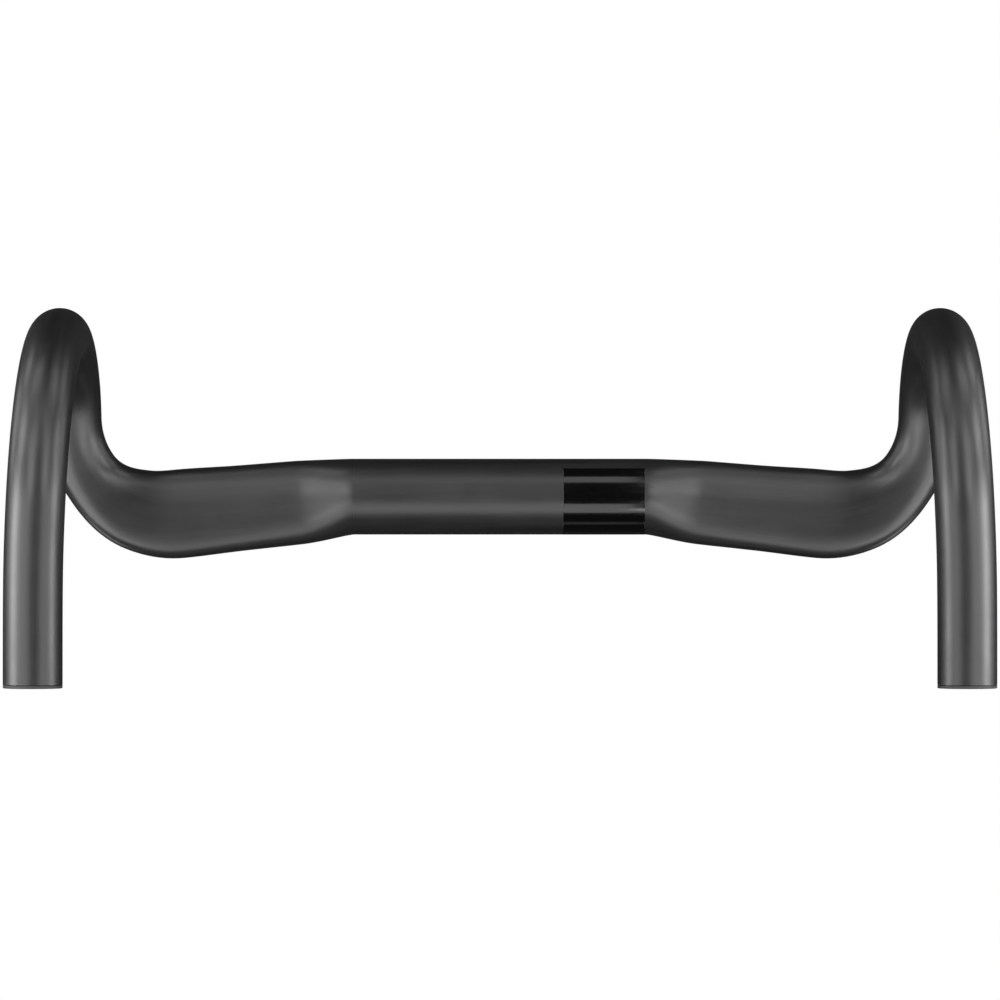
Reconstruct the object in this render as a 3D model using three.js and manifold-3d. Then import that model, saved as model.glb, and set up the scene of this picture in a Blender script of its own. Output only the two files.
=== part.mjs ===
// A compact drop handlebar: a round centre tube, two hollow moulded sides bonded into it,
// and an expanding plug in each open end. Millimetres.
// +X is the rider's left, +Y points back at the rider and +Z is up. The origin is the middle
// of the stem clamp, on the tube's axis. The drops lie level.

import * as THREE from "three";
import { LoftGeometry } from "three/addons/geometries/LoftGeometry.js";
import { mergeVertices } from "three/addons/utils/BufferGeometryUtils.js";
import Module from "manifold-3d";

// ---------------------------------------------------------------- driving dimensions

const CLAMP_DIAMETER = 31.8;
const TUBE_DIAMETER = 24; // ramps, hooks and drops
const HALF_WIDTH_RAMPS = 178.65; // middle of the bar to the tube's centre, at the brake levers
const HALF_WIDTH_FRONT = 180.9; // the same at the foremost point of the hooks
const HALF_WIDTH_LOW = 186.35; // the same where the drops turn level
const HALF_WIDTH_ENDS = 187.35; // the same at the ends
const REACH = 65.6; // clamp axis forward to the foremost centre of the hooks
const DROP = 124; // clamp axis down to the centre of the drops
const DROP_BACK = 75.6; // clamp axis back to the cut ends

const HALF_CENTRE = 61; // middle of the bar to the bonded joints
const SHOULDER_X = 84; // where the round section has become a wing
const SHOULDER_BACK = 2.45;
const WING_END_X = 134; // where the wing starts to bend forward
const WING_END_BACK = 7.15;
const WING_SWEEP = Math.atan2(WING_END_BACK - SHOULDER_BACK, WING_END_X - SHOULDER_X);
const RAMP_FORWARD = 33; // where the bend ends and the ramp points straight ahead
const RAMP_FALL = 8; // how far the ramp's centre is below the wings there
const RAMP_SLOPE = THREE.MathUtils.degToRad(18);

const WALL = 1.7;
const CLAMP_WALL = 2.4;
const SPIGOT_LENGTH = 25;
const SPIGOT_WALL = 1.8;
const FIT_GAP = 0.3; // between pieces that touch

const BAND_START = 26.5;
const BAND_THICKNESS = 0.4;
const BAND_HALF_ANGLE = THREE.MathUtils.degToRad(138); // round from the rear; the front stays bare

const CAP_THICKNESS = 1;
const CAP_EDGE_RADIUS = 0.4;
const PLUG_RADIUS = 9.8;
const BOSS_DEPTH = 5; // how far the cap reaches into the tube
const SCREW_RADIUS = 2.5; // M5
const SCREW_HOLE_RADIUS = SCREW_RADIUS + FIT_GAP;
const SCREW_LENGTH = 25.4;
const SCREW_CHAMFER = 0.5;
const HEAD_RADIUS = 4.25;
const HEAD_HEIGHT = 2.7;
const HEAD_RECESS_RADIUS = 4.7;
const HEAD_RECESS_DEPTH = 3.2;
const SOCKET_ACROSS_FLATS = 3;
const SOCKET_DEPTH = 1.7;
const JAW_END_DEPTH = 20.5; // inner end of the jaws, below the cut end of the tube
const JAW_BORE_RADIUS = 4.8;
const JAW_COUNT = 3;
const JAW_SLOT = 2.6;
const CONE_ANGLE = THREE.MathUtils.degToRad(15);
const NUT_RADIUS = 7.6;
const NUT_TOP_DEPTH = 13;
const NUT_END_DEPTH = 22.5;
const NUT_RIB_WIDTH = 1;
const NUT_RIB_RADIUS = 8.1;
const RING_RADIUS = 9.1; // centre of the ring's own section
const RING_SECTION_RADIUS = 0.6;
const RING_DEPTHS = { front: 8, rear: 17 };

// ---------------------------------------------------------------- materials

const colours = {
  carbon: { color: 0x2c2c2e, roughness: 0.5, metalness: 0 },
  gloss: { color: 0x060607, roughness: 0.12, metalness: 0 },
  plastic: { color: 0x151516, roughness: 0.6, metalness: 0 },
  rubber: { color: 0x0d0d0d, roughness: 0.8, metalness: 0 },
  steel: { color: 0x84868a, roughness: 0.35, metalness: 1 },
  aluminium: { color: 0xb6b8bc, roughness: 0.4, metalness: 1 },
};

function namedMesh(name, geometry, look) {
  const mesh = new THREE.Mesh(geometry, new THREE.MeshStandardMaterial(colours[look]));
  mesh.name = name;
  return mesh;
}

// ---------------------------------------------------------------- joining and cutting

const wasm = await Module();
wasm.setup();

function toSolid(geometry) {
  const bare = geometry.clone().deleteAttribute("normal").deleteAttribute("uv");
  const merged = mergeVertices(bare, 1e-4);
  return new wasm.Manifold(
    new wasm.Mesh({
      numProp: 3,
      vertProperties: merged.attributes.position.array,
      triVerts: new Uint32Array(merged.index.array),
    }),
  );
}

function toGeometry(solid) {
  const mesh = solid.getMesh();
  const geometry = new THREE.BufferGeometry();
  geometry.setAttribute("position", new THREE.BufferAttribute(mesh.vertProperties, 3));
  geometry.setIndex(new THREE.BufferAttribute(mesh.triVerts, 1));
  return geometry;
}

// A turned piece: its closed profile is [radius, distance along +Y], anticlockwise.
function turned(profile, segments) {
  const points = profile.map(([radius, along]) => new THREE.Vector2(radius, along));
  return new THREE.LatheGeometry([...points, points[0].clone()], segments);
}

// ---------------------------------------------------------------- the sides' centreline

// Knots of the left side's centreline: the point, the way the tube runs there, and how far the
// curve pulls along that way before and after the knot.
const knots = [
  { at: [HALF_CENTRE, 0, 0], way: [1, 0, 0], after: 5 },
  {
    at: [SHOULDER_X, SHOULDER_BACK, 0],
    way: [Math.cos(WING_SWEEP), Math.sin(WING_SWEEP), 0],
    before: 9,
    after: 16,
  },
  {
    at: [WING_END_X, WING_END_BACK, 0],
    way: [Math.cos(WING_SWEEP), Math.sin(WING_SWEEP), 0],
    before: 16,
    after: 26,
  },
  {
    at: [HALF_WIDTH_RAMPS, -RAMP_FORWARD, -RAMP_FALL],
    way: [0, -Math.cos(RAMP_SLOPE), -Math.sin(RAMP_SLOPE)],
    before: 26,
    after: 20.6,
  },
  {
    at: [HALF_WIDTH_FRONT, -REACH, -53.3],
    way: [0.04, 0, -1],
    before: 20.6,
    after: 39,
  },
  { at: [HALF_WIDTH_LOW, 4.8, -DROP], way: [0.045, 1, 0], before: 39, after: 22 },
  { at: [HALF_WIDTH_ENDS, DROP_BACK, -DROP], way: [0, 1, 0], before: 40 },
];

function knotPoint(knot, pull) {
  const way = new THREE.Vector3(...knot.way).normalize();
  return new THREE.Vector3(...knot.at).addScaledVector(way, pull);
}

const spans = knots.slice(1).map((knot, index) => {
  const previous = knots[index];
  return new THREE.CubicBezierCurve3(
    knotPoint(previous, 0),
    knotPoint(previous, previous.after),
    knotPoint(knot, -knot.before),
    knotPoint(knot, 0),
  );
});

// Sections at places along the knots: place 2.5 is halfway from knot 2 to knot 3. The powers
// shape the edges: 2 is an ellipse, and more is boxier. inner is the front of the wing and the
// inboard side of the ramp, outer is the other edge.
const sections = [
  { place: 0, width: CLAMP_DIAMETER, height: CLAMP_DIAMETER, inner: 2, outer: 2 },
  { place: 1, width: 35.1, height: 23.8, inner: 2.3, outer: 3.4 },
  { place: 1.5, width: 35.9, height: 22.8, inner: 2.35, outer: 4.2 },
  { place: 2, width: 37.3, height: 22.6, inner: 2.4, outer: 4.6 },
  { place: 2.25, width: 34.4, height: 22.7, inner: 2.35, outer: 4.4 },
  { place: 2.65, width: 25.4, height: 23.4, inner: 2.1, outer: 3.2 },
  { place: 3, width: TUBE_DIAMETER, height: TUBE_DIAMETER, inner: 2, outer: 2.2 },
  { place: 4, width: TUBE_DIAMETER, height: TUBE_DIAMETER, inner: 2, outer: 2 },
  { place: 6, width: TUBE_DIAMETER, height: TUBE_DIAMETER, inner: 2, outer: 2 },
];

// One value of the sections at a place, by a smooth curve that never overshoots the two
// sections beside it.
function sectionValue(key, place) {
  const last = sections.length - 2;
  const index = Math.min(
    sections.findLastIndex((section) => section.place <= place),
    last,
  );
  const rise = (i) =>
    (sections[i + 1][key] - sections[i][key]) / (sections[i + 1].place - sections[i].place);
  const slope = (i) => {
    if (i === 0 || i > last) return 0;
    const before = rise(i - 1);
    const after = rise(i);
    return before * after <= 0 ? 0 : (2 * before * after) / (before + after);
  };
  const run = sections[index + 1].place - sections[index].place;
  const t = (place - sections[index].place) / run;
  const value =
    (2 * t ** 3 - 3 * t ** 2 + 1) * sections[index][key] +
    (3 * t ** 2 - 2 * t ** 3) * sections[index + 1][key];
  const bend = (t ** 3 - 2 * t ** 2 + t) * slope(index) + (t ** 3 - t ** 2) * slope(index + 1);
  return value + bend * run;
}

const SECTION_POINTS = 20;

// A ring of points around the centreline at a place, shrunk by inset on every side.
function ring(place, inset) {
  const index = Math.min(Math.floor(place), spans.length - 1);
  const t = place - index;
  const centre = spans[index].getPoint(t);
  const along = spans[index].getTangent(t);
  // across lies level and points to the outer side, up completes the frame
  const across =
    place < 3
      ? new THREE.Vector3(-along.y, along.x, 0)
      : new THREE.Vector3(1, 0, 0).addScaledVector(along, -along.x);
  across.normalize();
  const up = new THREE.Vector3().crossVectors(along, across);
  const halfWidth = sectionValue("width", place) / 2 - inset;
  const halfHeight = sectionValue("height", place) / 2 - inset;
  const points = [];
  for (let i = 0; i < SECTION_POINTS; i++) {
    const angle = (2 * Math.PI * i) / SECTION_POINTS;
    const c = Math.cos(angle);
    const s = Math.sin(angle);
    const power = sectionValue(c < 0 ? "inner" : "outer", place);
    const x = Math.sign(c) * Math.abs(c) ** (2 / power) * halfWidth;
    const y = Math.sign(s) * Math.abs(s) ** (2 / power) * halfHeight;
    points.push(centre.clone().addScaledVector(across, x).addScaledVector(up, y));
  }
  return points;
}

// A ring around the X axis, for the spigot in the centre tube.
function roundRing(x, radius) {
  const points = [];
  for (let i = 0; i < SECTION_POINTS; i++) {
    const angle = (2 * Math.PI * i) / SECTION_POINTS;
    points.push(new THREE.Vector3(x, radius * Math.cos(angle), radius * Math.sin(angle)));
  }
  return points;
}

// ---------------------------------------------------------------- bar

const SPAN_STEPS = [6, 4, 9, 7, 10, 4];
const SPIGOT_RADIUS = CLAMP_DIAMETER / 2 - CLAMP_WALL - FIT_GAP - 0.1;
const BORE_START = 0.34; // place where the bore reaches its full size

// One hollow side, as a loft that runs out along the outside, turns in at the cut end, comes
// back through the bore and closes at the spigot's mouth.
function sideGeometry() {
  const places = SPAN_STEPS.flatMap((steps, span) =>
    Array.from({ length: steps }, (_, step) => span + step / steps),
  );
  places.push(spans.length);
  const outside = places.map((place) => ring(place, 0));
  const bore = places.filter((place) => place >= BORE_START).map((place) => ring(place, WALL));
  const jointX = HALF_CENTRE + FIT_GAP / 2;
  outside[0].forEach((point) => (point.x = jointX));
  const spigotStart = HALF_CENTRE - SPIGOT_LENGTH;
  const mouth = roundRing(spigotStart, SPIGOT_RADIUS);
  return new LoftGeometry([
    mouth,
    roundRing(jointX, SPIGOT_RADIUS),
    ...outside,
    ...bore.reverse(),
    roundRing(jointX, SPIGOT_RADIUS - SPIGOT_WALL),
    roundRing(spigotStart, SPIGOT_RADIUS - SPIGOT_WALL),
    mouth,
  ]);
}

const CENTRE_SEGMENTS = 48;

// A C-shaped sleeve around the X axis, open at the front.
function openSleeve(inner, outer, halfAngle, start, end) {
  const section = new THREE.Shape();
  section.absarc(0, 0, outer, -halfAngle, halfAngle, false);
  section.absarc(0, 0, inner, halfAngle, -halfAngle, true);
  const sleeve = new THREE.ExtrudeGeometry(section, {
    depth: end - start,
    bevelEnabled: false,
    curveSegments: CENTRE_SEGMENTS / 2,
  });
  // the section's own X and Y become Y and Z, and it runs along X
  const turn = new THREE.Matrix4().makeBasis(
    new THREE.Vector3(0, 1, 0),
    new THREE.Vector3(0, 0, 1),
    new THREE.Vector3(1, 0, 0),
  );
  return sleeve.applyMatrix4(turn).translate(start, 0, 0);
}

function centreTube() {
  const outer = CLAMP_DIAMETER / 2;
  const inner = outer - CLAMP_WALL;
  const end = HALF_CENTRE - FIT_GAP / 2;
  const tube = turned(
    [
      [inner, -end],
      [outer, -end],
      [outer, end],
      [inner, end],
    ],
    CENTRE_SEGMENTS,
  );
  tube.rotateZ(-Math.PI / 2);
  const seat = openSleeve(
    outer - BAND_THICKNESS - FIT_GAP,
    outer + 1,
    BAND_HALF_ANGLE + FIT_GAP / outer,
    BAND_START - FIT_GAP,
    HALF_CENTRE,
  );
  return namedMesh("centre_tube", toGeometry(toSolid(tube).subtract(toSolid(seat))), "carbon");
}

function glossBand() {
  const outer = CLAMP_DIAMETER / 2;
  const band = openSleeve(
    outer - BAND_THICKNESS,
    outer,
    BAND_HALF_ANGLE,
    BAND_START,
    HALF_CENTRE - FIT_GAP,
  );
  return namedMesh("gloss_band", band, "gloss");
}

// ---------------------------------------------------------------- expanding end plug

// The plug's pieces are turned about +Y, which points out of the drop. Zero is the tube's cut end.

function endCap() {
  const face = CAP_THICKNESS + FIT_GAP;
  const outer = TUBE_DIAMETER / 2;
  const edge = [0, 30, 60, 90].map((degrees) => {
    const angle = THREE.MathUtils.degToRad(degrees);
    return [
      outer - CAP_EDGE_RADIUS * (1 - Math.cos(angle)),
      face - CAP_EDGE_RADIUS * (1 - Math.sin(angle)),
    ];
  });
  return turned(
    [
      [SCREW_HOLE_RADIUS, -BOSS_DEPTH],
      [PLUG_RADIUS, -BOSS_DEPTH],
      [PLUG_RADIUS, FIT_GAP],
      [outer, FIT_GAP],
      ...edge,
      [HEAD_RECESS_RADIUS, face],
      [HEAD_RECESS_RADIUS, face - HEAD_RECESS_DEPTH],
      [SCREW_HOLE_RADIUS, face - HEAD_RECESS_DEPTH],
    ],
    32,
  );
}

function plugScrew() {
  const seat = CAP_THICKNESS + FIT_GAP - HEAD_RECESS_DEPTH + FIT_GAP;
  const tip = seat - SCREW_LENGTH;
  const profile = [
    [0, tip],
    [SCREW_RADIUS - SCREW_CHAMFER, tip],
    [SCREW_RADIUS, tip + SCREW_CHAMFER],
    [SCREW_RADIUS, seat],
    [HEAD_RADIUS, seat],
    [HEAD_RADIUS, seat + HEAD_HEIGHT - SCREW_CHAMFER],
    [HEAD_RADIUS - SCREW_CHAMFER, seat + HEAD_HEIGHT],
    [0, seat + HEAD_HEIGHT],
  ];
  const body = new THREE.LatheGeometry(
    profile.map(([radius, along]) => new THREE.Vector2(radius, along)),
    24,
  );
  const cornerRadius = SOCKET_ACROSS_FLATS / 2 / Math.cos(Math.PI / 6);
  const socket = new THREE.CylinderGeometry(cornerRadius, cornerRadius, 2 * SOCKET_DEPTH, 6);
  socket.translate(0, seat + HEAD_HEIGHT, 0);
  return toGeometry(toSolid(body).subtract(toSolid(socket)));
}

function nutRadiusAt(depth) {
  return NUT_RADIUS - (NUT_END_DEPTH - depth) * Math.tan(CONE_ANGLE);
}

function wedgeNut() {
  let nut = toSolid(
    turned(
      [
        [SCREW_HOLE_RADIUS, -NUT_END_DEPTH],
        [NUT_RADIUS, -NUT_END_DEPTH],
        [nutRadiusAt(NUT_TOP_DEPTH), -NUT_TOP_DEPTH],
        [SCREW_HOLE_RADIUS, -NUT_TOP_DEPTH],
      ],
      24,
    ),
  );
  // ribs that run in the slots between the jaws, so the nut can't turn with the screw
  const ribStart = SCREW_HOLE_RADIUS + 1;
  const ribLength = NUT_RIB_RADIUS - ribStart;
  const ribHeight = NUT_END_DEPTH - NUT_TOP_DEPTH - 1;
  for (let i = 0; i < JAW_COUNT; i++) {
    const rib = new THREE.BoxGeometry(NUT_RIB_WIDTH, ribHeight, ribLength);
    rib.translate(0, -NUT_END_DEPTH + ribHeight / 2, ribStart + ribLength / 2);
    rib.rotateY(((2 * i + 1) * Math.PI) / JAW_COUNT);
    nut = nut.add(toSolid(rib));
  }
  return toGeometry(nut);
}

// One jaw: a third of a turned sleeve, less half a slot on each side. It faces local +Z.
function jaw() {
  const top = -BOSS_DEPTH - FIT_GAP;
  const clear = FIT_GAP / Math.cos(CONE_ANGLE);
  const endBore = nutRadiusAt(JAW_END_DEPTH) + clear;
  const coneStart = JAW_END_DEPTH - (endBore - JAW_BORE_RADIUS) / Math.tan(CONE_ANGLE);
  const grooveFloor = RING_RADIUS - RING_SECTION_RADIUS - FIT_GAP;
  const halfGroove = RING_SECTION_RADIUS + FIT_GAP;
  const groove = (depth) => [
    [PLUG_RADIUS, -depth - halfGroove],
    [grooveFloor, -depth - halfGroove],
    [grooveFloor, -depth + halfGroove],
    [PLUG_RADIUS, -depth + halfGroove],
  ];
  const sleeve = turned(
    [
      [endBore, -JAW_END_DEPTH],
      [PLUG_RADIUS, -JAW_END_DEPTH],
      ...groove(RING_DEPTHS.rear),
      ...groove(RING_DEPTHS.front),
      [PLUG_RADIUS, top],
      [JAW_BORE_RADIUS, top],
      [JAW_BORE_RADIUS, -coneStart],
    ],
    30,
  );
  const halfSector = Math.PI / JAW_COUNT;
  const apex = JAW_SLOT / 2 / Math.sin(halfSector);
  const far = 2 * PLUG_RADIUS;
  const sector = new THREE.ExtrudeGeometry(
    new THREE.Shape([
      new THREE.Vector2(0, apex),
      new THREE.Vector2(far * Math.tan(halfSector), apex + far),
      new THREE.Vector2(-far * Math.tan(halfSector), apex + far),
    ]),
    { depth: 2 * JAW_END_DEPTH, bevelEnabled: false },
  );
  sector.rotateX(Math.PI / 2);
  return toGeometry(toSolid(sleeve).intersect(toSolid(sector)));
}

function rubberRing() {
  return new THREE.TorusGeometry(RING_RADIUS, RING_SECTION_RADIUS, 6, 24);
}

function endPlug(side) {
  const plug = new THREE.Group();
  plug.add(namedMesh(`${side}_end_cap`, endCap(), "plastic"));
  plug.add(namedMesh(`${side}_plug_screw`, plugScrew(), "steel"));
  plug.add(namedMesh(`${side}_wedge_nut`, wedgeNut(), "aluminium"));
  for (let i = 0; i < JAW_COUNT; i++) {
    const mesh = namedMesh(`${side}_jaw_${i + 1}`, jaw(), "plastic");
    mesh.rotation.y = (2 * Math.PI * i) / JAW_COUNT;
    plug.add(mesh);
  }
  for (const [place, depth] of Object.entries(RING_DEPTHS)) {
    const mesh = namedMesh(`${side}_${place}_ring`, rubberRing(), "rubber");
    mesh.rotation.x = Math.PI / 2;
    mesh.position.y = -depth;
    plug.add(mesh);
  }
  return plug;
}

// ---------------------------------------------------------------- assembly

const handlebar = new THREE.Group();
handlebar.add(centreTube(), glossBand());

for (const [side, sign] of [
  ["left", 1],
  ["right", -1],
]) {
  const moulding = namedMesh(`${side}_side`, sideGeometry(), "carbon");
  moulding.scale.x = sign;
  handlebar.add(moulding);
  const plug = endPlug(side);
  plug.position.set(sign * HALF_WIDTH_ENDS, DROP_BACK, -DROP);
  handlebar.add(plug);
}

export default handlebar;
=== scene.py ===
"""The looks of a compact drop handlebar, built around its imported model.

Lengths below are millimetres in the part's own frame: +X is the rider's left, +Y points back at
the rider, +Z is up, and the origin is the middle of the stem clamp. Meshes are written in metres.
"""

import math

import bpy
import numpy as np
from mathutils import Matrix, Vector


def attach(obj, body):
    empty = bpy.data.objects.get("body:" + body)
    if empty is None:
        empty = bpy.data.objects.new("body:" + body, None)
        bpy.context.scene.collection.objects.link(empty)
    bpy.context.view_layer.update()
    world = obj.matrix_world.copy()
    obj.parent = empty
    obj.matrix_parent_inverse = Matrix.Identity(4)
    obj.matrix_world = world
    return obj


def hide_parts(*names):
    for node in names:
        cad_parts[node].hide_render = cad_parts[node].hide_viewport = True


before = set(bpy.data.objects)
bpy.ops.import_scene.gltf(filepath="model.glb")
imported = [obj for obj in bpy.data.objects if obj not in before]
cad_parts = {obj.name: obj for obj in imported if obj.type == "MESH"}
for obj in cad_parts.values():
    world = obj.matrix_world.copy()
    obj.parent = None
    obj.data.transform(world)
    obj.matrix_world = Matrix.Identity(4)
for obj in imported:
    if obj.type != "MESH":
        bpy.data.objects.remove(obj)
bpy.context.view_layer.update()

MM = 0.001

# ---------------------------------------------------------------- driving dimensions

CLAMP_DIAMETER = 31.8
TUBE_DIAMETER = 24  # ramps, hooks and drops
HALF_WIDTH_RAMPS = 178.65  # middle of the bar to the tube's centre, at the brake levers
HALF_WIDTH_FRONT = 180.9  # the same at the foremost point of the hooks
HALF_WIDTH_LOW = 186.35  # the same where the drops turn level
HALF_WIDTH_ENDS = 187.35  # the same at the ends
REACH = 65.6  # clamp axis forward to the foremost centre of the hooks
DROP = 124  # clamp axis down to the centre of the drops
DROP_BACK = 75.6  # clamp axis back to the cut ends

HALF_CENTRE = 61  # middle of the bar to the bonded joints
SHOULDER_X = 84  # where the round section has become a wing
SHOULDER_BACK = 2.45
WING_END_X = 134  # where the wing starts to bend forward
WING_END_BACK = 7.15
WING_SWEEP = math.atan2(WING_END_BACK - SHOULDER_BACK, WING_END_X - SHOULDER_X)
RAMP_FORWARD = 33  # where the bend ends and the ramp points straight ahead
RAMP_FALL = 8  # how far the ramp's centre is below the wings there
RAMP_SLOPE = math.radians(18)

WALL = 1.7
CLAMP_WALL = 2.4
SPIGOT_LENGTH = 25
SPIGOT_RADIUS = 13.1
SPIGOT_WALL = 1.8
FIT_GAP = 0.3  # between pieces that move on each other
JOINT_GAP = 0.02  # hairline between bonded pieces
CUT_EDGE = 0.15  # broken edge of a cut tube
STEEP = 0.001  # run of a step that is as good as square

BAND_START = 26.5
BAND_END = 60.5
BAND_THICKNESS = 0.4
BAND_HALF_ANGLE = math.radians(138)  # round from the rear: the band is open at the front
BAND_PROUD = 0.03  # how far the band stands above the tube
BAND_EDGE = 0.1  # fillet of the band's edges
BAND_ARC_POINTS = 120
BARE_ARC_POINTS = 40

CAP_THICKNESS = 1
CAP_GAP = 0.12  # between the cap's flange and the cut end
PLUG_RADIUS = 9.8
BOSS_DEPTH = 5  # how far the cap reaches into the tube
CAP_FACE = CAP_THICKNESS + FIT_GAP  # the cap's outer face, beyond the cut end
SCREW_RADIUS = 2.5  # M5
SHANK_RADIUS = 2.45  # the plain part under the head
SHANK_LENGTH = 2.4
SCREW_TIP_RADIUS = 1.8
SCREW_PITCH = 0.8
SCREW_HOLE_RADIUS = SCREW_RADIUS + FIT_GAP
SCREW_LENGTH = 25.4
SCREW_AROUND = 48
THREAD_DEPTH = 0.45
THREAD_STEPS = 180
HEAD_RADIUS = 4.25
HEAD_HEIGHT = 2.7
HEAD_RECESS_RADIUS = 4.7
HEAD_RECESS_DEPTH = 3.2
SOCKET_ACROSS_FLATS = 3
SOCKET_DEPTH = 1.7
SOCKET_CHAMFER = 0.12
JAW_TOP_DEPTH = 5.3  # depths count from the cut end of the tube
JAW_END_DEPTH = 20.5
JAW_BORE_RADIUS = 4.8
JAW_COUNT = 3
JAW_SLOT = 2.6
JAW_STEPS = 28
RIDGE_START = 15.6
RIDGE_COUNT = 7
RIDGE_PITCH = 0.9
RIDGE_DEPTH = 0.35
CONE_ANGLE = math.radians(15)
NUT_RADIUS = 7.6
NUT_TOP_DEPTH = 13
NUT_END_DEPTH = 22.5
NUT_RIB_WIDTH = 1
NUT_RIB_RADIUS = 8.1
NUT_CHAMFER = 0.25
NUT_ARC_STEPS = 14
RING_RADIUS = 9.1  # centre of the ring's own section
RING_SECTION_RADIUS = 0.6
RING_SECTION_STEPS = 24
RING_DEPTHS = {"front": 8, "rear": 17}

SIDES = {"left": 1, "right": -1}

# ---------------------------------------------------------------- node materials


def new_material(name, roughness, metallic=0.0):
    material = bpy.data.materials.new(name)
    material.use_nodes = True
    shader = material.node_tree.nodes["Principled BSDF"]
    shader.inputs["Roughness"].default_value = roughness
    shader.inputs["Metallic"].default_value = metallic
    return material


def node(material, kind, inputs=(), **settings):
    """A new node with its settings, and its inputs as values or as sockets to link."""
    made = material.node_tree.nodes.new(kind)
    for key, value in settings.items():
        setattr(made, key, value)
    for key, value in dict(inputs).items():
        if isinstance(value, bpy.types.NodeSocket):
            material.node_tree.links.new(value, made.inputs[key])
        else:
            made.inputs[key].default_value = value
    return made


def straightened(material, scale):
    """The piece's own coordinates, as if it were straight along X, in millimetres times scale."""
    place = node(material, "ShaderNodeAttribute", attribute_name="straight")
    mapping = node(
        material, "ShaderNodeMapping", {"Vector": place.outputs["Vector"], "Scale": scale}
    )
    return mapping.outputs["Vector"]


def noise(material, scale, detail=3.0):
    """Noise with its own scale along the piece and both ways across it, per millimetre."""
    made = node(
        material,
        "ShaderNodeTexNoise",
        {"Vector": straightened(material, scale), "Scale": 1.0, "Detail": detail},
    )
    return made.outputs["Fac"]


def spread(material, value, low, high):
    """The range that most of the noise keeps to, turned into low to high."""
    made = node(
        material,
        "ShaderNodeMapRange",
        {"Value": value, "From Min": 0.3, "From Max": 0.7, "To Min": low, "To Max": high},
    )
    return made.outputs["Result"]


def grey(material, value):
    made = node(material, "ShaderNodeCombineColor", {"Red": value, "Green": value, "Blue": value})
    return made.outputs["Color"]


def bump(material, height, depth):
    """A normal from a height of 0 to 1, as deep as depth in millimetres."""
    made = node(
        material, "ShaderNodeBump", {"Height": height, "Distance": depth * MM, "Strength": 1.0}
    )
    return made.outputs["Normal"]


def feed(material, **sockets):
    """Links sockets to the shader's inputs, whose names have spaces for underscores."""
    shader = material.node_tree.nodes["Principled BSDF"]
    for name, socket in sockets.items():
        material.node_tree.links.new(socket, shader.inputs[name.replace("_", " ")])


def total(material, first, second):
    made = node(material, "ShaderNodeMath", {0: first, 1: second}, operation="ADD")
    return made.outputs[0]


def carbon_material():
    """Unidirectional carbon under a satin matt lacquer: fibre streaks along the tube and a
    faint orange peel."""
    material = new_material("satin_carbon", 0.42)
    fibres = noise(material, (0.03, 2.2, 2.2), detail=2.0)
    tows = noise(material, (0.012, 0.35, 0.35), detail=2.0)
    lacquer = noise(material, (0.09, 0.09, 0.09), detail=3.0)
    peel = noise(material, (1.4, 1.4, 1.4), detail=2.0)
    fine_shade = spread(material, fibres, -0.001, 0.001)
    broad_shade = spread(material, tows, 0.003, 0.006)
    fine_shine = spread(material, fibres, -0.012, 0.012)
    broad_shine = spread(material, lacquer, 0.35, 0.39)
    feed(
        material,
        Base_Color=grey(material, total(material, fine_shade, broad_shade)),
        Roughness=total(material, broad_shine, fine_shine),
        Normal=bump(material, peel, 0.016),
    )
    return material


def gloss_material():
    """Black gloss lacquer with fine polishing haze."""
    material = new_material("gloss_black", 0.07)
    haze = noise(material, (0.5, 0.5, 0.5), detail=4.0)
    speck = noise(material, (2.5, 2.5, 2.5), detail=2.0)
    feed(
        material,
        Base_Color=grey(material, spread(material, speck, 0.0004, 0.0008)),
        Roughness=spread(material, haze, 0.11, 0.15),
        Normal=bump(material, haze, 0.003),
    )
    return material


def nylon_material():
    """Black glass-filled nylon with a spark-eroded mould texture."""
    material = new_material("black_nylon", 0.55)
    grain = noise(material, (4.0, 4.0, 4.0), detail=3.0)
    flow = noise(material, (0.25, 0.25, 0.25), detail=2.0)
    feed(
        material,
        Base_Color=grey(material, spread(material, flow, 0.005, 0.009)),
        Roughness=spread(material, grain, 0.58, 0.72),
        Normal=bump(material, grain, 0.02),
    )
    return material


def rubber_material():
    """Black rubber with a dull bloom."""
    material = new_material("rubber", 0.7)
    bloom = noise(material, (0.8, 0.8, 0.8), detail=4.0)
    feed(
        material,
        Base_Color=grey(material, spread(material, bloom, 0.006, 0.012)),
        Roughness=spread(material, bloom, 0.65, 0.8),
        Normal=bump(material, bloom, 0.01),
    )
    return material


def metal_material(name, colour, roughness, mark_depth):
    """A turned metal: tool marks in rings around the axis, and a slight stain."""
    material = new_material(name, roughness, metallic=1.0)
    marks = noise(material, (9.0, 0.05, 0.05), detail=3.0)
    stain = noise(material, (0.4, 0.4, 0.4), detail=3.0)
    strength = spread(material, stain, 0.85, 1.05)
    tinted = {}
    for name, channel in zip(("Red", "Green", "Blue"), colour):
        made = node(
            material, "ShaderNodeMath", {0: strength, 1: channel}, operation="MULTIPLY"
        )
        tinted[name] = made.outputs[0]
    mixed = node(material, "ShaderNodeCombineColor", tinted)
    feed(
        material,
        Base_Color=mixed.outputs["Color"],
        Roughness=spread(material, marks, roughness - 0.06, roughness + 0.08),
        Normal=bump(material, marks, mark_depth),
    )
    return material


# The lamps are set for a black bar, so the two bright metals are toned down to keep their detail.
LOOKS = {
    "carbon": carbon_material(),
    "gloss_band": gloss_material(),
    "black_nylon": nylon_material(),
    "rubber": rubber_material(),
    "zinc_steel": metal_material("zinc_plated_steel", (0.17, 0.173, 0.182), 0.32, 0.006),
    "aluminium": metal_material("turned_aluminium", (0.22, 0.223, 0.226), 0.36, 0.012),
}

# ---------------------------------------------------------------- mesh making

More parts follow.
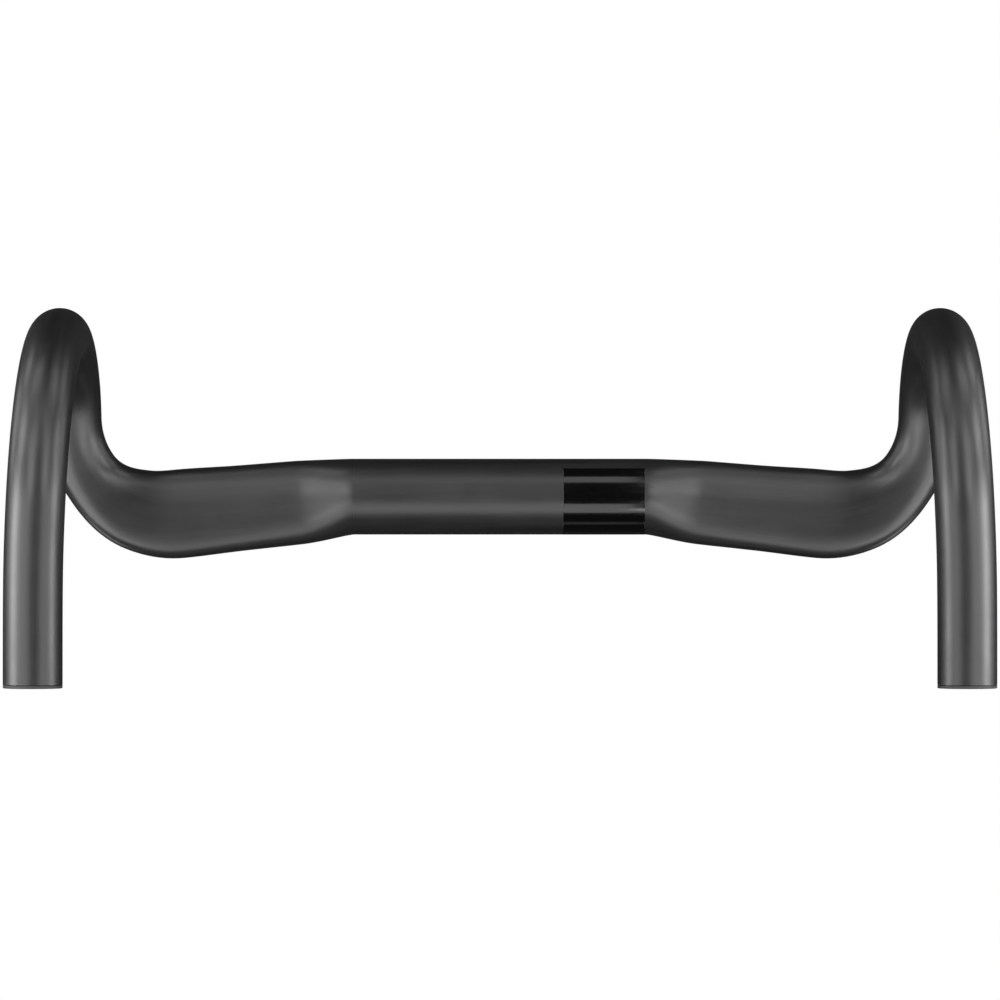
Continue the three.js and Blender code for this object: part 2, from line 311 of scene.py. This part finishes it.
SHARP_ANGLE = math.radians(35)  # edges that turn further than this are shaded as creases


def piece(name, points, faces, straight, slot, body, replaced):
    """A finished piece: a mesh from points in millimetres, its straightened coordinates for the
    material, its shading, its body and the node that it stands for."""
    mesh = bpy.data.meshes.new(name)
    mesh.from_pydata((np.asarray(points) * MM).tolist(), [], faces)
    place = mesh.attributes.new("straight", "FLOAT_VECTOR", "POINT")
    place.data.foreach_set("vector", np.asarray(straight, np.float32).ravel())
    mesh.polygons.foreach_set("use_smooth", [True] * len(mesh.polygons))
    mesh.set_sharp_from_angle(angle=SHARP_ANGLE)
    mesh.materials.append(LOOKS[slot])
    made = bpy.data.objects.new(name, mesh)
    bpy.context.scene.collection.objects.link(made)
    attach(made, body)
    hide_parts(replaced)
    return made


def outward(points, faces):
    """The faces, turned round if they enclose a negative volume."""
    points = np.asarray(points)
    volume = 0.0
    for face in faces:
        first = points[face[0]]
        for second, third in zip(face[1:-1], face[2:]):
            volume += np.dot(first, np.cross(points[second], points[third]))
    return [face[::-1] for face in faces] if volume < 0 else faces


def joined_rings(count, around, closed):
    """Quads between rings of points that follow each other. closed joins the last to the first."""
    faces = []
    for ring in range(count if closed else count - 1):
        here = ring * around
        there = (ring + 1) % count * around
        for i in range(around):
            j = (i + 1) % around
            faces.append((here + i, there + i, there + j, here + j))
    return faces


def capped_rings(rings):
    """Points and faces of a loft whose first and last rings are closed by a fan to their middle."""
    around = len(rings[0])
    points = [point for ring in rings for point in ring]
    faces = joined_rings(len(rings), around, False)
    for ring, step in ((0, 1), (len(rings) - 1, -1)):
        middle = len(points)
        points.append(np.mean(rings[ring], axis=0))
        base = ring * around
        for i in range(around):
            j = (i + 1) % around
            fan = (middle, base + i, base + j)
            faces.append(fan if step > 0 else fan[::-1])
    return np.array(points), faces


def ended_rings(rings):
    """Points and faces of a loft whose first and last rings are closed by one flat face each."""
    around = len(rings[0])
    last = (len(rings) - 1) * around
    faces = joined_rings(len(rings), around, False)
    faces.append(tuple(range(around)))
    faces.append(tuple(reversed(range(last, last + around))))
    return np.concatenate(rings), faces


def rounded(profile, steps=4):
    """A closed profile of (radius, along, fillet) corners, with each fillet as an arc."""
    result = []
    for index, (x, y, fillet) in enumerate(profile):
        corner = np.array((x, y), float)
        if not fillet:
            result.append(corner)
            continue
        before = np.array(profile[index - 1][:2], float) - corner
        after = np.array(profile[(index + 1) % len(profile)][:2], float) - corner
        before /= np.linalg.norm(before)
        after /= np.linalg.norm(after)
        half = math.acos(max(-1.0, min(1.0, float(np.dot(before, after))))) / 2
        reach = fillet / math.tan(half)
        middle = corner + (before + after) / np.linalg.norm(before + after) * fillet / math.sin(half)
        start = corner + before * reach - middle
        end = corner + after * reach - middle
        sweep = math.pi - 2 * half
        for step in range(steps + 1):
            t = step / steps
            result.append(
                middle
                + (start * math.sin((1 - t) * sweep) + end * math.sin(t * sweep)) / math.sin(sweep)
            )
    return result


def full_turn(count):
    return np.arange(count) * 2 * math.pi / count


def ring_at(along, radii, angles):
    """Points around the X axis at one place along it, with one radius or one for each angle."""
    places = np.full(len(angles), along)
    return np.stack([places, radii * np.cos(angles), radii * np.sin(angles)], axis=1)


def turned_rings(profile, angles):
    """Rings around the X axis for each (radius, along) of a profile."""
    return [ring_at(along, radius, angles) for radius, along in profile]


# ---------------------------------------------------------------- the sides

# Knots of the left side's centreline: the point, the way the tube runs there, and how far the
# curve pulls along that way before and after the knot.
wing_way = (math.cos(WING_SWEEP), math.sin(WING_SWEEP), 0)
ramp_way = (0, -math.cos(RAMP_SLOPE), -math.sin(RAMP_SLOPE))
KNOTS = [
    ((HALF_CENTRE, 0, 0), (1, 0, 0), 0, 5),
    ((SHOULDER_X, SHOULDER_BACK, 0), wing_way, 9, 16),
    ((WING_END_X, WING_END_BACK, 0), wing_way, 16, 26),
    ((HALF_WIDTH_RAMPS, -RAMP_FORWARD, -RAMP_FALL), ramp_way, 26, 20.6),
    ((HALF_WIDTH_FRONT, -REACH, -53.3), (0.04, 0, -1), 20.6, 39),
    ((HALF_WIDTH_LOW, 4.8, -DROP), (0.045, 1, 0), 39, 22),
    ((HALF_WIDTH_ENDS, DROP_BACK, -DROP), (0, 1, 0), 40, 0),
]

# Sections at places along the knots: place, width, height, and the powers of the inner and outer
# edges. Place 2.5 is halfway from knot 2 to knot 3. A power of 2 is an ellipse, and more is boxier.
SECTIONS = np.array(
    [
        (0, CLAMP_DIAMETER, CLAMP_DIAMETER, 2, 2),
        (1, 35.1, 23.8, 2.3, 3.4),
        (1.5, 35.9, 22.8, 2.35, 4.2),
        (2, 37.3, 22.6, 2.4, 4.6),
        (2.25, 34.4, 22.7, 2.35, 4.4),
        (2.65, 25.4, 23.4, 2.1, 3.2),
        (3, TUBE_DIAMETER, TUBE_DIAMETER, 2, 2.2),
        (4, TUBE_DIAMETER, TUBE_DIAMETER, 2, 2),
        (6, TUBE_DIAMETER, TUBE_DIAMETER, 2, 2),
    ]
)
SPAN_STEPS = (26, 16, 40, 30, 44, 16)  # rings from each knot to the next
LENGTH_STEPS = 600  # for measuring along the centreline
AROUND = 96  # points in a ring
RAMP_KNOT = 3  # up to it a section's width is level, and from it on it follows the bar's axis
BORE_START = 0.34  # place where the bore reaches its full size


def centreline(place):
    """The centreline's point and direction at a place."""
    index = min(int(place), len(KNOTS) - 2)
    t = place - index
    start, start_way, _, pull = KNOTS[index]
    end, end_way, push, _ = KNOTS[index + 1]
    start_way = np.array(start_way) / np.linalg.norm(start_way)
    end_way = np.array(end_way) / np.linalg.norm(end_way)
    a = np.array(start, float)
    d = np.array(end, float)
    b = a + start_way * pull
    c = d - end_way * push
    u = 1 - t
    point = u**3 * a + 3 * u * u * t * b + 3 * u * t * t * c + t**3 * d
    along = 3 * (u * u * (b - a) + 2 * u * t * (c - b) + t * t * (d - c))
    return point, along / np.linalg.norm(along)


def section(place):
    """Width, height and both powers at a place, by a smooth curve that never overshoots."""
    places = SECTIONS[:, 0]
    values = SECTIONS[:, 1:]
    index = min(int(np.searchsorted(places, place, "right")) - 1, len(places) - 2)
    rises = np.diff(values, axis=0) / np.diff(places)[:, None]

    def slope(i):
        if i == 0 or i > len(rises) - 1:
            return np.zeros(values.shape[1])
        before, after = rises[i - 1], rises[i]
        product = before * after
        return np.where(product > 0, 2 * product / np.where(product > 0, before + after, 1), 0)

    run = places[index + 1] - places[index]
    t = (place - places[index]) / run
    value = (2 * t**3 - 3 * t**2 + 1) * values[index] + (3 * t**2 - 2 * t**3) * values[index + 1]
    bend = (t**3 - 2 * t**2 + t) * slope(index) + (t**3 - t**2) * slope(index + 1)
    return value + bend * run


def side_ring(place, inset, shift=0.0):
    """A ring around the centreline, shrunk by inset and moved along by shift, with the same
    points as (across, up) pairs."""
    centre, along = centreline(place)
    if place < RAMP_KNOT:
        across = np.array((-along[1], along[0], 0))
    else:
        across = np.array((1.0, 0, 0)) - along * along[0]
    across /= np.linalg.norm(across)
    up = np.cross(along, across)
    width, height, inner, outer = section(place)
    flat = []
    for i in range(AROUND):
        angle = 2 * math.pi * i / AROUND
        c, s = math.cos(angle), math.sin(angle)
        power = inner if c < 0 else outer
        size = (abs(c) ** power + abs(s) ** power) ** (-1 / power)
        flat.append((c * size * (width / 2 - inset), s * size * (height / 2 - inset)))
    ring = [centre + along * shift + across * x + up * y for x, y in flat]
    return ring, flat


def side_surface():
    """Rings and straightened coordinates of a hollow left side, closed on itself."""
    places = [span + step / steps for span, steps in enumerate(SPAN_STEPS) for step in range(steps)]
    fine = np.linspace(0, len(SPAN_STEPS), LENGTH_STEPS)
    lengths = [0.0]
    for a, b in zip(fine[:-1], fine[1:]):
        lengths.append(lengths[-1] + np.linalg.norm(centreline(b)[0] - centreline(a)[0]))

    rings = []
    straight = []

    def add(place, inset, shift=0.0):
        ring, flat = side_ring(place, inset, shift)
        run = HALF_CENTRE + float(np.interp(place, fine, lengths)) + shift
        rings.append(np.array(ring))
        straight.extend((run, x, y) for x, y in flat)

    def add_round(x, radius):
        ring = ring_at(x, radius, full_turn(AROUND))
        rings.append(ring)
        straight.extend(ring)

    end = len(SPAN_STEPS)
    spigot_start = HALF_CENTRE - SPIGOT_LENGTH
    joint = HALF_CENTRE + JOINT_GAP / 2
    add_round(spigot_start, SPIGOT_RADIUS - CUT_EDGE)
    add_round(spigot_start + CUT_EDGE, SPIGOT_RADIUS)
    add_round(joint, SPIGOT_RADIUS)
    add(0, 0, JOINT_GAP / 2)
    for place in places[1:]:
        add(place, 0)
    add(end, 0, -CUT_EDGE)
    add(end, CUT_EDGE)
    add(end, WALL - CUT_EDGE)
    add(end, WALL, -CUT_EDGE)
    # the bore is never seen up close, so it takes every other ring
    for place in reversed(places[::2]):
        if place >= BORE_START:
            add(place, WALL)
    add_round(joint, SPIGOT_RADIUS - SPIGOT_WALL)
    add_round(spigot_start + CUT_EDGE, SPIGOT_RADIUS - SPIGOT_WALL)
    add_round(spigot_start, SPIGOT_RADIUS - SPIGOT_WALL + CUT_EDGE)
    return rings, straight


def make_sides():
    rings, straight = side_surface()
    points = np.concatenate(rings)
    straight = np.array(straight)
    faces = outward(points, joined_rings(len(rings), AROUND, True))
    for side, sign in SIDES.items():
        mirror = np.array((sign, 1, 1))
        turned_faces = faces if sign > 0 else [face[::-1] for face in faces]
        piece(
            f"{side}_side_moulding",
            points * mirror,
            turned_faces,
            straight * mirror,
            "carbon",
            "bar",
            f"{side}_side",
        )


# ---------------------------------------------------------------- the centre


def make_tube():
    """The clamped tube, with a shallow seat around most of it for the band."""
    outer = CLAMP_DIAMETER / 2
    inner = outer - CLAMP_WALL
    end = HALF_CENTRE - JOINT_GAP / 2
    seat_angle = BAND_HALF_ANGLE + JOINT_GAP / outer
    seated = np.linspace(-seat_angle, seat_angle, BAND_ARC_POINTS)
    bare = np.linspace(seat_angle + STEEP, 2 * math.pi - seat_angle - STEEP, BARE_ARC_POINTS)
    angles = np.concatenate([seated, bare])
    floor = outer - BAND_THICKNESS - JOINT_GAP
    seat = np.where(np.arange(len(angles)) < len(seated), floor, outer)
    seat_start = BAND_START - JOINT_GAP
    seat_end = BAND_END + JOINT_GAP
    profile = [
        (inner, -end),
        (outer, -end),
        (outer, seat_start),
        (seat, seat_start + STEEP),
        (seat, seat_end - STEEP),
        (outer, seat_end),
        (outer, end),
        (inner, end),
    ]
    rings = turned_rings(profile, angles)
    points = np.concatenate(rings)
    faces = outward(points, joined_rings(len(rings), len(angles), True))
    piece("centre_tube_shell", points, faces, points, "carbon", "bar", "centre_tube")


def make_band():
    """A sleeve that is open at the front, as a loft round the tube from end to end."""
    outer = CLAMP_DIAMETER / 2
    floor = outer - BAND_THICKNESS
    top = outer + BAND_PROUD
    outline = rounded(
        [
            (floor, BAND_START, 0),
            (top, BAND_START, BAND_EDGE),
            (top, BAND_END, BAND_EDGE),
            (floor, BAND_END, 0),
        ],
        6,
    )
    rings = [
        np.array([(x, radius * math.cos(angle), radius * math.sin(angle)) for radius, x in outline])
        for angle in np.linspace(-BAND_HALF_ANGLE, BAND_HALF_ANGLE, BAND_ARC_POINTS)
    ]
    points, faces = ended_rings(rings)
    faces = outward(points, faces)
    piece("gloss_band_skin", points, faces, points, "gloss_band", "bar", "gloss_band")


# ---------------------------------------------------------------- the expanding end plugs


def plug_place(sign):
    """Turns X, the way out of the tube, into +Y at one cut end, and Y and Z into X and Z."""
    centre = np.array((sign * HALF_WIDTH_ENDS, DROP_BACK, -DROP))

    def place(points):
        points = np.asarray(points)
        return np.stack([points[:, 1], points[:, 0], points[:, 2]], axis=1) + centre

    return place


def plug_piece(name, straight, faces, slot, body, replaced, place):
    """A piece modelled along X, moved to its place in the plug."""
    points = place(straight)
    faces = outward(points - points.mean(axis=0), faces)
    piece(name, points, faces, straight, slot, body, replaced)


def turned_plug_piece(name, profile, slot, body, replaced, place):
    rings = turned_rings(profile, full_turn(AROUND))
    straight = np.concatenate(rings)
    faces = joined_rings(len(rings), AROUND, True)
    plug_piece(name, straight, faces, slot, body, replaced, place)


def make_cap(side, place):
    """The cap: a boss in the bore, a flange over the cut end, and a shallow dish round the screw's
    recess."""
    outer = TUBE_DIAMETER / 2
    recess_floor = CAP_FACE - HEAD_RECESS_DEPTH
    dish = CAP_FACE - 0.25
    profile = [
        (SCREW_HOLE_RADIUS, -BOSS_DEPTH, 0.2),
        (PLUG_RADIUS, -BOSS_DEPTH, 0.5),
        (PLUG_RADIUS, CAP_GAP, 0.15),
        (outer, CAP_GAP, 0.15),
        (outer, CAP_FACE, 0.4),
        (HEAD_RECESS_RADIUS + 1.6, CAP_FACE, 0.3),
        (HEAD_RECESS_RADIUS + 1.2, dish, 0.1),
        (HEAD_RECESS_RADIUS, dish, 0.2),
        (HEAD_RECESS_RADIUS, recess_floor, 0.2),
        (SCREW_HOLE_RADIUS, recess_floor, 0.15),
    ]
    turned_plug_piece(
        f"{side}_end_cap_moulding",
        rounded(profile),
        "black_nylon",
        f"{side}_plug",
        f"{side}_end_cap",
        place,
    )


def make_screw(side, place):
    """A socket screw with a helical thread, as one loft from its tip to its socket's floor."""
    seat = CAP_FACE - HEAD_RECESS_DEPTH + FIT_GAP
    top = seat + HEAD_HEIGHT
    tip = seat - SCREW_LENGTH
    thread_start = tip + 0.1
    thread_end = seat - SHANK_LENGTH
    angles = full_turn(SCREW_AROUND)
    rings = [ring_at(tip, SCREW_TIP_RADIUS, angles)]
    for along in np.linspace(thread_start, thread_end, THREAD_STEPS + 1):
        phase = (along / SCREW_PITCH - angles / (2 * math.pi)) % 1
        crest = np.clip(1.25 - 3.2 * abs(phase - 0.5), 0, 1)
        # the thread runs out over 1.2 mm at the tip and 0.8 mm at the shank
        fade = max(0, min(1, (along - tip) / 1.2, (thread_end - along) / 0.8))
        rings.append(ring_at(along, SCREW_RADIUS - THREAD_DEPTH * (1 - crest * fade), angles))
    rings.append(ring_at(thread_end + 0.3, SHANK_RADIUS, angles))
    head = rounded(
        [
            (SHANK_RADIUS, seat - 1, 0),
            (SHANK_RADIUS, seat, 0.2),
            (HEAD_RADIUS, seat, 0.1),
            (HEAD_RADIUS, top, 0.45),
            (SOCKET_ACROSS_FLATS / 2 + 0.5, top, 0),
        ]
    )
    rings += turned_rings(head, angles)
    # the hexagon: distance to a flat, with a small chamfer at its mouth
    sixth = math.pi / 3
    hexagon = SOCKET_ACROSS_FLATS / 2 / np.cos((angles + sixth / 2) % sixth - sixth / 2)
    rings.append(ring_at(top, hexagon + SOCKET_CHAMFER, angles))
    rings.append(ring_at(top - SOCKET_CHAMFER, hexagon, angles))
    rings.append(ring_at(top - SOCKET_DEPTH, hexagon, angles))
    straight, faces = capped_rings(rings)
    plug_piece(
        f"{side}_plug_screw_thread",
        straight,
        faces,
        "zinc_steel",
        f"{side}_screw",
        f"{side}_plug_screw",
        place,
    )


def nut_radius_at(depth):
    """The cone's radius at a depth below the cut end."""
    return NUT_RADIUS - (NUT_END_DEPTH - depth) * math.tan(CONE_ANGLE)


def make_nut(side, place):
    """The cone nut: its ribs are steps in each ring, which run in the slots between the jaws."""
    half = NUT_RIB_WIDTH / 2

    def ring(depth, ribbed, grow=0.0):
        cone = nut_radius_at(depth) + grow
        rim = NUT_RIB_RADIUS + grow if ribbed else cone
        points = []
        for i in range(JAW_COUNT):
            middle = (2 * i + 1) * math.pi / JAW_COUNT + math.pi / 2
            foot = math.asin(half / cone)
            edge = math.asin(half / rim)
            polar = [(cone, middle - foot), (rim, middle - edge), (rim, middle)]
            polar.append((rim, middle + edge))
            start = middle + foot
            reach = 2 * math.pi / JAW_COUNT - 2 * foot
            for k in range(NUT_ARC_STEPS):
                polar.append((cone, start + reach * k / NUT_ARC_STEPS))
            points += [(-depth, r * math.cos(a), r * math.sin(a)) for r, a in polar]
        return np.array(points)

    rib_top = NUT_TOP_DEPTH + 1
    bore = [
        (SCREW_HOLE_RADIUS + NUT_CHAMFER, -NUT_TOP_DEPTH),
        (SCREW_HOLE_RADIUS, -NUT_TOP_DEPTH - NUT_CHAMFER),
        (SCREW_HOLE_RADIUS, -NUT_END_DEPTH + NUT_CHAMFER),
        (SCREW_HOLE_RADIUS + NUT_CHAMFER, -NUT_END_DEPTH),
    ]
    outside = [
        ring(NUT_END_DEPTH, True, -NUT_CHAMFER),
        ring(NUT_END_DEPTH - NUT_CHAMFER, True),
        ring(rib_top, True),
        ring(rib_top - STEEP, False),
        ring(NUT_TOP_DEPTH + NUT_CHAMFER, False),
        ring(NUT_TOP_DEPTH, False, -NUT_CHAMFER),
    ]
    # the bore's points stand at the same angles as the outside's
    angles = np.arctan2(outside[-1][:, 2], outside[-1][:, 1])
    rings = outside + turned_rings(bore, angles)
    plug_piece(
        f"{side}_wedge_nut_cone",
        np.concatenate(rings),
        joined_rings(len(rings), len(angles), True),
        "aluminium",
        f"{side}_nut",
        f"{side}_wedge_nut",
        place,
    )


def make_jaw(side, number, place):
    """A third of a sleeve between two slots: ridges that bite the bore, and the rings' grooves."""
    clear = FIT_GAP / math.cos(CONE_ANGLE)
    end_bore = nut_radius_at(JAW_END_DEPTH) + clear
    cone_start = JAW_END_DEPTH - (end_bore - JAW_BORE_RADIUS) / math.tan(CONE_ANGLE)
    groove_floor = RING_RADIUS - RING_SECTION_RADIUS - 0.15
    half_groove = RING_SECTION_RADIUS + 0.2

    def groove(depth):
        return [
            (PLUG_RADIUS, -depth - half_groove, 0.15),
            (groove_floor, -depth - half_groove, 0.35),
            (groove_floor, -depth + half_groove, 0.35),
            (PLUG_RADIUS, -depth + half_groove, 0.15),
        ]

    profile = [(end_bore, -JAW_END_DEPTH, 0.15), (PLUG_RADIUS, -JAW_END_DEPTH, 0.4)]
    profile += groove(RING_DEPTHS["rear"])
    for k in range(RIDGE_COUNT):
        low = -RIDGE_START + k * RIDGE_PITCH
        profile += [
            (PLUG_RADIUS, low, 0.04),
            (PLUG_RADIUS - RIDGE_DEPTH, low + 0.12, 0.04),
            (PLUG_RADIUS, low + RIDGE_PITCH * 0.75, 0.04),
        ]
    profile += groove(RING_DEPTHS["front"])
    profile += [
        (PLUG_RADIUS, -JAW_TOP_DEPTH, 0.4),
        (JAW_BORE_RADIUS, -JAW_TOP_DEPTH, 0.2),
        (JAW_BORE_RADIUS, -cone_start, 0.3),
    ]
    outline = rounded(profile, 3)
    middle = math.pi / 2 - 2 * math.pi * (number - 1) / JAW_COUNT
    rings = []
    for share in np.linspace(-1, 1, JAW_STEPS + 1):
        ring = []
        for radius, along in outline:
            angle = middle + share * (math.pi / JAW_COUNT - math.asin(JAW_SLOT / 2 / radius))
            ring.append((along, radius * math.cos(angle), radius * math.sin(angle)))
        rings.append(np.array(ring))
    straight, faces = ended_rings(rings)
    plug_piece(
        f"{side}_jaw_{number}_sleeve",
        straight,
        faces,
        "black_nylon",
        f"{side}_jaw_body_{number}",
        f"{side}_jaw_{number}",
        place,
    )


def make_ring(side, name, depth, place):
    profile = [
        (
            RING_RADIUS + RING_SECTION_RADIUS * math.cos(angle),
            -depth + RING_SECTION_RADIUS * math.sin(angle),
        )
        for angle in full_turn(RING_SECTION_STEPS)
    ]
    turned_plug_piece(
        f"{side}_{name}_ring_cord",
        profile,
        "rubber",
        f"{side}_plug",
        f"{side}_{name}_ring",
        place,
    )


def make_plugs():
    for side, sign in SIDES.items():
        place = plug_place(sign)
        make_cap(side, place)
        make_screw(side, place)
        make_nut(side, place)
        for number in range(1, JAW_COUNT + 1):
            make_jaw(side, number, place)
        for name, depth in RING_DEPTHS.items():
            make_ring(side, name, depth, place)


# ---------------------------------------------------------------- camera, lights and floor

CAMERA_BELOW = 2.8  # metres under the clamp axis, looking straight up
CAMERA_BACK = 0.0014
LENS = 240.3  # millimetres


def make_camera():
    data = bpy.data.cameras.new("camera")
    data.lens = LENS
    data.sensor_width = 36
    data.clip_end = 50
    camera = bpy.data.objects.new("camera", data)
    camera.location = (0, CAMERA_BACK, -CAMERA_BELOW)
    camera.rotation_euler = (math.pi, 0, 0)
    bpy.context.scene.collection.objects.link(camera)
    bpy.context.scene.camera = camera


FLOOR_RADIUS = 0.9
FLOOR_HEIGHT = -0.14  # just under the drops
FLOOR_LAMP_HEIGHT = 2.0
FLOOR_LAMP_SIZE = (2.0, 2.0)
FLOOR_POWER = 60


def floor_material():
    """A plain pale floor, which only shows from above and fades out towards its rim."""
    material = bpy.data.materials.new("pale_floor")
    material.use_nodes = True
    nodes, links = material.node_tree.nodes, material.node_tree.links
    shader = nodes["Principled BSDF"]
    shader.inputs["Base Color"].default_value = (0.8, 0.8, 0.8, 1)
    shader.inputs["Roughness"].default_value = 0.9
    clear = nodes.new("ShaderNodeBsdfTransparent")
    mixed = nodes.new("ShaderNodeMixShader")
    place = node(material, "ShaderNodeTexCoord")
    reach = node(
        material, "ShaderNodeVectorMath", {0: place.outputs["Object"]}, operation="LENGTH"
    )
    faded = node(
        material,
        "ShaderNodeMapRange",
        {
            "Value": reach.outputs["Value"],
            "From Min": 0.5 * FLOOR_RADIUS,
            "From Max": FLOOR_RADIUS,
            "To Min": 0.0,
            "To Max": 1.0,
        },
    )
    side = node(material, "ShaderNodeNewGeometry")
    hidden = node(
        material,
        "ShaderNodeMath",
        {0: faded.outputs["Result"], 1: side.outputs["Backfacing"]},
        operation="MAXIMUM",
    )
    links.new(hidden.outputs["Value"], mixed.inputs["Fac"])
    links.new(shader.outputs["BSDF"], mixed.inputs[1])
    links.new(clear.outputs["BSDF"], mixed.inputs[2])
    links.new(mixed.outputs["Shader"], nodes["Material Output"].inputs["Surface"])
    return material


def make_floor():
    """A disc that only the camera sees, so it throws no light back at the bar."""
    angles = full_turn(AROUND)
    points = np.stack([np.cos(angles), np.sin(angles), np.zeros(AROUND)], axis=1) * FLOOR_RADIUS
    mesh = bpy.data.meshes.new("floor")
    mesh.from_pydata(points.tolist(), [], [tuple(range(AROUND))])
    mesh.materials.append(floor_material())
    floor = bpy.data.objects.new("floor", mesh)
    floor.location = (0, 0, FLOOR_HEIGHT)
    floor.visible_diffuse = False
    floor.visible_glossy = False
    floor.visible_transmission = False
    floor.visible_shadow = False
    bpy.context.scene.collection.objects.link(floor)
    return floor


# Every lamp is a soft rectangle, in metres and watts. The strips stand in pairs, square to the
# bar's axis: the angle from straight below towards the back in degrees, and the power.
STRIPS = {
    "rear_strip": (20, 5.0),
    "front_strip": (-35, 3.7),
    "low_front_strip": (-65, 1.0),
    "level_front_strip": (-80, 2.7),
}
STRIP_SIZE = (0.64, 0.25)
STRIP_ACROSS = 0.62  # from the middle of the bar to the middle of a strip
STRIP_REACH = 1.2  # from the bar's axis
# The band's own lamps stand between the strips, and make the streaks in its gloss: the same
# angle, the size and the power.
BAND_LAMPS = {
    "band_front_lamp": (-53, (0.4, 0.4), 0.85),
    "band_rear_lamp": (36, (0.4, 0.6), 1.7),
    "band_low_lamp": (88, (0.4, 0.2), 0.1),
}
# The boxes stand in pairs and face the middle of the bar: place, size and power.
BOXES = {
    "far_rear_box": ((0.55, 1.0, -1.1), (0.6, 0.5), 4.7),
    "wide_rear_box": ((1.3, 1.0, -1.1), (0.7, 0.5), 4.2),
    "rear_side_box": ((0.9, 0.7, -0.8), (0.5, 0.5), 2.6),
    "near_front_box": ((0.5, -0.3, -1.1), (0.3, 0.3), 2.9),
    "far_front_box": ((0.5, -1.2, -1.1), (0.3, 0.3), 1.4),
    "side_box": ((0.78, 0, -0.45), (0.25, 1.2), 3.2),
    "low_side_box": ((0.87, 0, -0.23), (0.25, 1.2), 1.1),
    "middle_box": ((0.7, 0, -0.25), (0.25, 0.25), 1.9),
    "front_middle_box": ((0.7, -0.35, -0.25), (0.25, 0.25), 1.8),
    "rear_middle_box": ((0.7, 0.35, -0.25), (0.25, 0.25), 1.1),
    "upper_box": ((0.9, -0.3, 0.25), (0.3, 0.3), 1.0),
    "upper_front_box": ((0.9, -0.8, 0.25), (0.3, 0.3), 1.2),
    "upper_rear_box": ((0.9, 1.0, 0.5), (0.5, 0.5), 2.5),
}
WORLD_LIGHT = 0.035  # strength of the fill


def make_lamp(name, place, target, size, power):
    """A rectangular lamp that faces its target and doesn't show itself."""
    data = bpy.data.lights.new(name, "AREA")
    data.shape = "RECTANGLE"
    data.size, data.size_y = size
    data.energy = power
    lamp = bpy.data.objects.new(name, data)
    lamp.location = place
    away = Vector(place) - Vector(target)
    lamp.rotation_euler = away.to_track_quat("Z", "Y").to_euler()
    lamp.visible_camera = False
    bpy.context.scene.collection.objects.link(lamp)
    return lamp


def square_to_bar(across, degrees):
    """A place at the strips' reach, and the point of the bar's axis that it faces."""
    angle = math.radians(degrees)
    place = (across, STRIP_REACH * math.sin(angle), -STRIP_REACH * math.cos(angle))
    return place, (across, 0, 0)


def make_lamps():
    for name, (degrees, size, power) in BAND_LAMPS.items():
        make_lamp(name, *square_to_bar(0, degrees), size, power)
    for side, sign in SIDES.items():
        for name, (degrees, power) in STRIPS.items():
            place, target = square_to_bar(sign * STRIP_ACROSS, degrees)
            make_lamp(f"{side}_{name}", place, target, STRIP_SIZE, power)
        for name, ((across, back, up), size, power) in BOXES.items():
            make_lamp(f"{side}_{name}", (sign * across, back, up), (0, 0, 0), size, power)


def light_floor(floor):
    """A lamp above the floor that lights nothing else."""
    place = (0, 0, FLOOR_LAMP_HEIGHT)
    lamp = make_lamp("floor_lamp", place, (0, 0, 0), FLOOR_LAMP_SIZE, FLOOR_POWER)
    only = bpy.data.collections.new("floor_only")
    only.objects.link(floor)
    lamp.light_linking.receiver_collection = only


def make_world():
    """White for the camera, and a weak fill for everything else."""
    world = bpy.data.worlds.new("studio")
    world.use_nodes = True
    nodes, links = world.node_tree.nodes, world.node_tree.links
    shown = nodes["Background"]
    shown.inputs["Color"].default_value = (1, 1, 1, 1)
    fill = nodes.new("ShaderNodeBackground")
    fill.inputs["Color"].default_value = (1, 1, 1, 1)
    fill.inputs["Strength"].default_value = WORLD_LIGHT
    seen = nodes.new("ShaderNodeLightPath")
    mixed = nodes.new("ShaderNodeMixShader")
    links.new(seen.outputs["Is Camera Ray"], mixed.inputs["Fac"])
    links.new(fill.outputs[0], mixed.inputs[1])
    links.new(shown.outputs[0], mixed.inputs[2])
    links.new(mixed.outputs[0], nodes["World Output"].inputs["Surface"])
    bpy.context.scene.world = world


make_camera()
make_lamps()
make_world()
light_floor(make_floor())
make_sides()
make_tube()
make_band()
make_plugs()

bpy.context.scene.view_settings.view_transform = "Standard"
